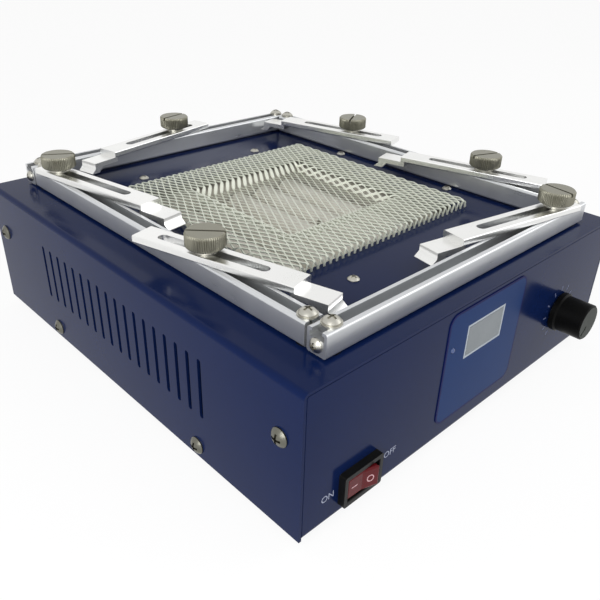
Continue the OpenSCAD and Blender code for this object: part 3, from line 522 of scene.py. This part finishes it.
def guard_surface(s, t, half_w, height):
    """Point on the pressed sheet at flat coordinates s and t, measured from its middle.

    Through the dip the sheet runs over the floor, up the wall, along the top and down the outer fold. Beside
    the dip it runs level to the fold, and its spare length is spread evenly. The share inside the dip mixes
    the two.
    Height = top - dip depth * (inside along x) * (inside along y) - fold depth * the larger fold share.
    """
    knots = guard_folds(half_w, height)
    through = [0, knots[1], DIP_W / 2 + WALL_LEAN, half_w - WALL_LEAN, half_w]
    beside = [0, half_w - WALL_LEAN, half_w]
    parts = []
    for flat in (s, t):
        run = np.abs(flat)
        parts.append((
            np.sign(flat) * blurred(through, run, knots),
            np.sign(flat) * blurred(beside, run, knots[[0, 3, 4]]),
            blurred([1, 1, 0, 0, 0], run, knots),
            blurred([0, 0, 0, 0, 1], run, knots)))
    (dip_x, level_x, inside_x, fold_x), (dip_y, level_y, inside_y, fold_y) = parts
    x = level_x + (dip_x - level_x) * inside_y
    y = level_y + (dip_y - level_y) * inside_x
    z = height - DIP_DEPTH * inside_x * inside_y - height * np.maximum(fold_x, fold_y)
    return np.stack([x, y, z], -1)


def guard_strands():
    """Zigzag strands of the guard.

    Strand k runs along y at s = k * pitch + (pitch - width) / 2 * clipped zigzag(meshes passed), each next
    one in opposite phase, so that neighbours meet at the bonds. Up the dip's wall they stay together in
    pairs, as upright ridges, and beside the dip the same number of meshes is spread evenly. A leaning
    rectangle is carried along each path, wider on the wall.
    """
    low, high = node_box("heater_guard")
    half_w = (high[0] - low[0]) / 2
    height = high[2] - TOP_Z - STRAND_T / 2
    knots = guard_folds(half_w, height)
    reach = knots[-1] - STRAND_INSET
    count = int(2 * reach / MESH_PITCH)
    edge_meshes = FLOOR_MESHES + RING_MESHES
    steps = int(2 * edge_meshes) * STEPS_PER_MESH
    k, t = np.meshgrid(np.arange(count) - (count - 1) / 2, np.linspace(-reach, reach, steps), indexing="ij")
    run = np.abs(t)
    last = edge_meshes + (knots[4] - knots[3]) * RING_MESHES / (knots[3] - knots[2])
    through = np.interp(run, knots, [0, FLOOR_MESHES, FLOOR_MESHES, edge_meshes, last])
    beside = np.interp(run, knots[[0, 3, 4]], [0, edge_meshes, last])
    off_middle = np.abs(k * MESH_PITCH)
    in_dip = blurred([1, 1, 0, 0, 0], off_middle, knots)
    passed = beside + (through - beside) * in_dip
    rise = np.array([0, knots[1], knots[1] + 1, knots[2] - 1, knots[2], knots[4]])
    cross_wall = blurred([0, 0, 1, 1, 0, 0], run, rise) * in_dip
    side_wall = blurred([0, 0, 1, 1, 0, 0], off_middle, rise) * blurred([1, 1, 0, 0, 0], run, knots)
    wall = np.maximum(cross_wall, side_wall)
    width = STRAND_W + (WALL_STRAND_W - STRAND_W) * wall
    phase = np.where(np.arange(count) % 2 == 0, 1.0, -1.0)[:, None]
    wave = 2 * np.abs(2 * (passed % 1.0) - 1) - 1
    swing = (MESH_PITCH - STRAND_W) / 2 * np.clip(BOND_STRETCH * wave, -1, 1) * phase
    s = np.clip(k * MESH_PITCH + swing, -reach, reach)
    nudge = 0.05
    corners = []
    for side, up in ((-1, -1), (1, -1), (1, 1), (-1, 1)):
        wide = side * width / 2
        thick = up * STRAND_T / 2
        ds = wide * math.cos(STRAND_LEAN) - thick * math.sin(STRAND_LEAN)
        dn = wide * math.sin(STRAND_LEAN) + thick * math.cos(STRAND_LEAN)
        spot = guard_surface(s + ds, t, half_w, height)
        along_s = guard_surface(s + ds + nudge, t, half_w, height) - spot
        along_t = guard_surface(s + ds, t + nudge, half_w, height) - spot
        normal = np.cross(along_s, along_t)
        normal /= np.maximum(np.linalg.norm(normal, axis=-1, keepdims=True), 1e-9)
        corners.append(spot + dn[..., None] * normal)
    rings = np.stack(corners, 2)
    rings[..., :2] = np.clip(rings[..., :2], -half_w, half_w)
    rings[..., 2] = np.maximum(rings[..., 2], low[2] - TOP_Z + STRAND_CLEAR)
    rings += np.array([0, MID_Y, TOP_Z])
    points = rings.reshape(-1, 3)
    one = ring_faces(steps, 4)
    caps = np.array([[3, 2, 1, 0], [(steps - 1) * 4 + i for i in range(4)]])
    faces = np.concatenate([np.concatenate([one, caps]) + n * steps * 4 for n in range(count)])
    mesh = mesh_of("guard_strands", points, faces)
    # The share of dip wall also drives the painted light on the wall's strands in bright_mesh
    mesh.attributes.new("wall", "FLOAT", "POINT").data.foreach_set("value", np.repeat(wall.ravel(), 4))
    add_piece("guard_strands", mesh, "case", paints["guard_mesh"], ["heater_guard"])


# Knurled thumb screws


def thumb_screw_mesh(node, slot_turn):
    """Screw turned about its axis, with r = R - depth * (1 + cos(teeth * angle)) / 2 on the knurl and a slot.

    Rings of points climb from the tip to the slot's floor; above it two crowns stand either side of the slot.
    """
    low, high = node_box(node)
    middle = (low + high) / 2
    radius = (high[0] - low[0]) / 2
    top = high[2]
    head_low = top - THUMB_HEAD_H
    collar_low = head_low - THUMB_COLLAR_H
    floor_z = top - THUMB_SLOT_DEPTH
    half_gap = math.asin(THUMB_SLOT_W / 2 / radius)
    arc_n = KNURL_TEETH * POINTS_PER_TOOTH
    gap_n = SLOT_END_POINTS
    arc = np.linspace(half_gap, math.pi - half_gap, arc_n)
    gap = np.linspace(math.pi - half_gap, math.pi + half_gap, gap_n + 2)[1:-1]
    angle = np.concatenate([arc, gap, arc + math.pi, gap + math.pi])
    around = len(angle)
    tooth = KNURL_DEPTH * (1 + np.cos(KNURL_TEETH * angle)) / 2

    def ring(r, z, knurled):
        rim = r - tooth * knurled
        return np.stack([rim * np.cos(angle), rim * np.sin(angle), np.full(around, z)], -1)

    stack = [
        ring(THUMB_SHANK_R, low[2], 0),
        ring(THUMB_SHANK_R, collar_low, 0),
        ring(THUMB_COLLAR_R, collar_low, 0),
        ring(THUMB_COLLAR_R, head_low, 0),
        ring(radius - THUMB_EDGE, head_low, 0),
        ring(radius, head_low + THUMB_EDGE, 1),
        ring(radius, floor_z, 1)]
    points = list(np.concatenate(stack))
    faces = [list(f) for f in ring_faces(len(stack), around)]
    faces.append(list(range(around))[::-1])
    base = (len(stack) - 1) * around
    first_arc = np.arange(arc_n)
    second_arc = first_arc + arc_n + gap_n
    for start in (first_arc, second_arc):
        crown = [ring(radius, top - THUMB_EDGE, 1)[start], ring(radius - THUMB_EDGE, top, 0)[start]]
        rows = [base + start]
        for level in crown:
            rows.append(len(points) + np.arange(arc_n))
            points.extend(level)
        for lower, upper in zip(rows[:-1], rows[1:]):
            faces.extend(np.stack([lower[:-1], lower[1:], upper[1:], upper[:-1]], -1).tolist())
        faces.append([rows[0][-1], rows[0][0], rows[1][0], rows[2][0], rows[2][-1], rows[1][-1]])
        faces.append(list(rows[2]))
    floor = [second_arc[-1]] + [2 * arc_n + gap_n + i for i in range(gap_n)] + [first_arc[0]]
    floor += [first_arc[-1]] + [arc_n + i for i in range(gap_n)] + [second_arc[0]]
    faces.append([base + i for i in floor])
    turned = Matrix.Rotation(math.radians(slot_turn), 3, "Z")
    points = np.array(points) @ np.array(turned).T + np.array([middle[0], middle[1], 0])
    return mesh_of("knurled_" + node, points, faces, KNURL_SMOOTH)


# Printed words and marks


def lettering(name, words, size, turn, at, body, ink):
    """Flat print of the given words in an ink, centred on a place, with its face turned by a matrix."""
    curve = bpy.data.curves.new(name, "FONT")
    curve.body = words
    curve.size = size * MM
    curve.extrude = PRINT_T * MM / 2
    curve.align_x = "CENTER"
    curve.align_y = "CENTER"
    shape = bpy.data.objects.new(name + "_shape", curve)
    bpy.context.scene.collection.objects.link(shape)
    bpy.context.view_layer.update()
    mesh = bpy.data.meshes.new_from_object(shape.evaluated_get(bpy.context.evaluated_depsgraph_get()))
    bpy.data.objects.remove(shape)
    mesh.transform(Matrix.Translation(Vector(at) * MM) @ turn.to_4x4())
    add_piece(name, mesh, body, ink)


def dial_ticks():
    """Printed ticks fanned round the knob: bars between two radii, turned about the knob's axis."""
    low, high = node_box("knob")
    centre = (low + high) / 2
    turn = np.radians(np.linspace(-TICK_FAN, TICK_FAN, TICK_COUNT))[:, None]
    side = TICK_HALF_W * np.array([-1, 1, 1, -1])
    out = np.array([TICK_INNER_R, TICK_INNER_R, TICK_OUTER_R, TICK_OUTER_R])
    x = centre[0] + side * np.cos(turn) + out * np.sin(turn)
    z = centre[2] - side * np.sin(turn) + out * np.cos(turn)
    layers = [np.stack([x, np.full_like(x, FRONT_Y - depth), z], -1) for depth in (0.0, PRINT_T)]
    points = np.stack(layers, 1).reshape(-1, 3)
    bar = np.array([[4, 5, 6, 7], [3, 2, 1, 0], [0, 1, 5, 4], [1, 2, 6, 5], [2, 3, 7, 6], [3, 0, 4, 7]])
    faces = (bar + 8 * np.arange(TICK_COUNT)[:, None, None]).reshape(-1, 4)
    add_piece("dial_ticks", mesh_of("dial_ticks", points, faces), "case", dial_print)


guard_strands()
joints = frame["record"]["behaviour"]["joints"]
for i, slot_turn in enumerate(THUMB_SLOT_TURNS, 1):
    screw = f"thumb_screw_{i}"
    knurled = thumb_screw_mesh(screw, slot_turn)
    add_piece(f"knurled_{screw}", knurled, f"screw_{i}", paints["thumb_nickel"], [screw])
    along = next(joint["axis"] for joint in joints if joint["name"] == f"arm_slide_{i}")
    across = (-along[1], along[0], 0)
    softened(f"clamp_arm_{i}", ARM_EDGE, f"arm_{i}", across, np.mean(node_box(screw), axis=0), BAR_EDGE)
softened("switch_body", BEZEL_EDGE, "case")
softened("switch_rocker", ROCKER_SOFT_EDGE, "rocker")
softened("power_inlet", INLET_EDGE, "case")

upright = Matrix.Rotation(math.radians(90), 3, "X")
bezel_low, bezel_high = node_box("switch_body")
switch_x = (bezel_low[0] + bezel_high[0]) / 2
switch_z = (bezel_low[2] + bezel_high[2]) / 2
for name, word, offset in (("print_on", "ON", ON_OFFSET), ("print_off", "OFF", OFF_OFFSET)):
    at = (switch_x + offset, FRONT_Y, switch_z + WORD_RISE)
    lettering(name, word, SWITCH_WORD_SIZE, upright, at, "case", white_print)
sideways = Matrix.Rotation(math.radians(90), 3, "Z")
for side, name, mark in ((-1, "mark_on", "I"), (1, "mark_off", "O")):
    slope = math.atan2(-side * (ROCKER_PEAK - ROCKER_DIP), ROCKER_HALF) + ROCKER_TILT
    middle = Vector((side * ROCKER_HALF / 2, -(ROCKER_PEAK + ROCKER_DIP) / 2, 0))
    middle.rotate(Matrix.Rotation(ROCKER_TILT, 3, "Z"))
    at = middle + Vector((switch_x, FRONT_Y + ROCKER_PIVOT, switch_z))
    turn = Matrix.Rotation(slope, 3, "Z") @ upright @ sideways
    lettering(name, mark, ROCKER_MARK_SIZE, turn, at, "rocker", rocker_print)
dial_ticks()

# Stage

floor_corners = FLOOR_HALF * np.array([[-1, -1, 0], [1, -1, 0], [1, 1, 0], [-1, 1, 0]])
floor_mesh = mesh_of("floor", floor_corners, [[0, 1, 2, 3]])
floor = bpy.data.objects.new("floor", floor_mesh)
bpy.context.scene.collection.objects.link(floor)
floor_paint = Paint("floor_white", Base_Color=(0.86, 0.86, 0.86, 1.0), Roughness=0.9)
glow = floor_paint.node("Emission", {}, {"Color": WHITE, "Strength": FLOOR_GLOW})
matt = Wire(floor_paint, floor_paint.surface.outputs[0])
share = floor_paint.white_rays() * FLOOR_GLOW_SHARE
shell = floor_paint.node("MixShader", {}, {0: share, 1: matt, 2: glow})
floor_paint.plug(floor_paint.tree.nodes["Material Output"].inputs["Surface"], shell)
floor_mesh.materials.append(floor_paint.material)

world = bpy.data.worlds.new("studio")
bpy.context.scene.world = world
world.use_nodes = True
air = Nodes(world.node_tree)
background = air.tree.nodes["Background"]
air.plug(background.inputs["Color"], WHITE)
air.plug(background.inputs["Strength"], MATT_LIGHT + air.white_rays() * (1 - MATT_LIGHT))


def soft_lamp(name, at, size, power):
    """Square studio lamp at a place in metres, aimed at the part's middle."""
    lamp = bpy.data.lights.new(name, "AREA")
    lamp.size = size
    lamp.energy = power
    holder = bpy.data.objects.new(name, lamp)
    bpy.context.scene.collection.objects.link(holder)
    aim = LAMP_AIM - Vector(at)
    holder.matrix_world = Matrix.Translation(at) @ aim.to_track_quat("-Z", "Y").to_matrix().to_4x4()


for name, (at, size, power) in LAMPS.items():
    soft_lamp(name, at, size, power)

# Camera

azimuth, elevation, roll = (math.radians(a) for a in (CAMERA_AZ, CAMERA_EL, CAMERA_ROLL))
back = Vector((
    math.sin(azimuth) * math.cos(elevation), -math.cos(azimuth) * math.cos(elevation), math.sin(elevation)))
right = Vector((math.cos(azimuth), math.sin(azimuth), 0))
up = back.cross(right)
camera_right = right * math.cos(roll) + up * math.sin(roll)
camera_up = up * math.cos(roll) - right * math.sin(roll)
lens = bpy.data.cameras.new("photo_camera")
lens.lens = CAMERA_LENS
lens.sensor_width = CAMERA_SENSOR
lens.clip_start = 0.01
camera = bpy.data.objects.new("photo_camera", lens)
bpy.context.scene.collection.objects.link(camera)
turned = Matrix((camera_right, camera_up, back)).transposed().to_4x4()
camera.matrix_world = Matrix.Translation(Vector(CAMERA_AT) * MM) @ turned
bpy.context.scene.camera = camera
bpy.context.scene.view_settings.view_transform = "Standard"
